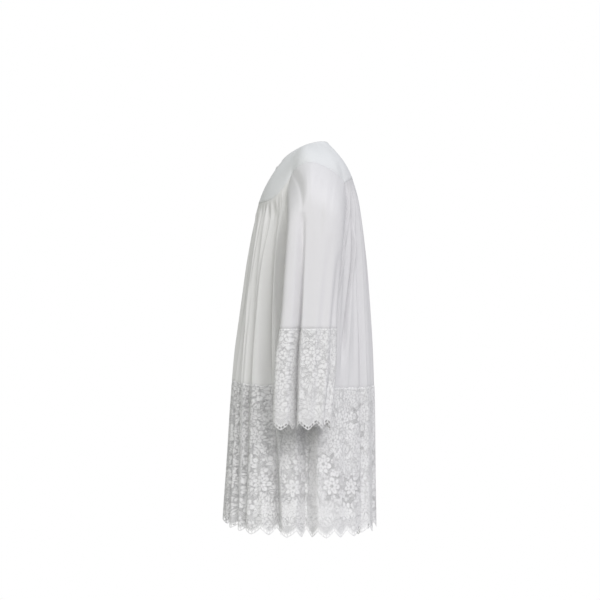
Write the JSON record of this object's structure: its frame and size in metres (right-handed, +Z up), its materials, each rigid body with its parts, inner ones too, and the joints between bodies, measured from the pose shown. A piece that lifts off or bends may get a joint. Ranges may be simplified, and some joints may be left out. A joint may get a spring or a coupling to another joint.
{
  "type": "lace surplice",
  "caption": "White surplice in its worn form, with a smooth yoke, gathered front and back, wide sleeves, and deep scalloped lace at the hem and cuffs.",
  "frame": {"origin": "in the neck opening, midway between the shoulders that carry the cloth, a little above the opening's front edge", "axes": "+Z up along the wearer's neck, +X towards the wearer's left, -Y towards the front"},
  "size_m": [0.6308, 0.3825, 0.952],
  "materials": {
    "yoke_cloth": "smooth matte cotton",
    "panel_cloth": "light matte cotton, gathered",
    "sleeve_cloth": "light matte cotton",
    "lace": "floral lace on a fine net"
  },
  "bodies": {
    "root": {"yoke": "yoke_cloth", "front": "panel_cloth", "back": "panel_cloth", "hem_lace_front": "lace", "hem_lace_back": "lace", "sleeve_left": "sleeve_cloth", "sleeve_right": "sleeve_cloth", "cuff_lace_left_front": "lace", "cuff_lace_left_back": "lace", "cuff_lace_right_front": "lace", "cuff_lace_right_back": "lace"}
  },
  "joints": []
}
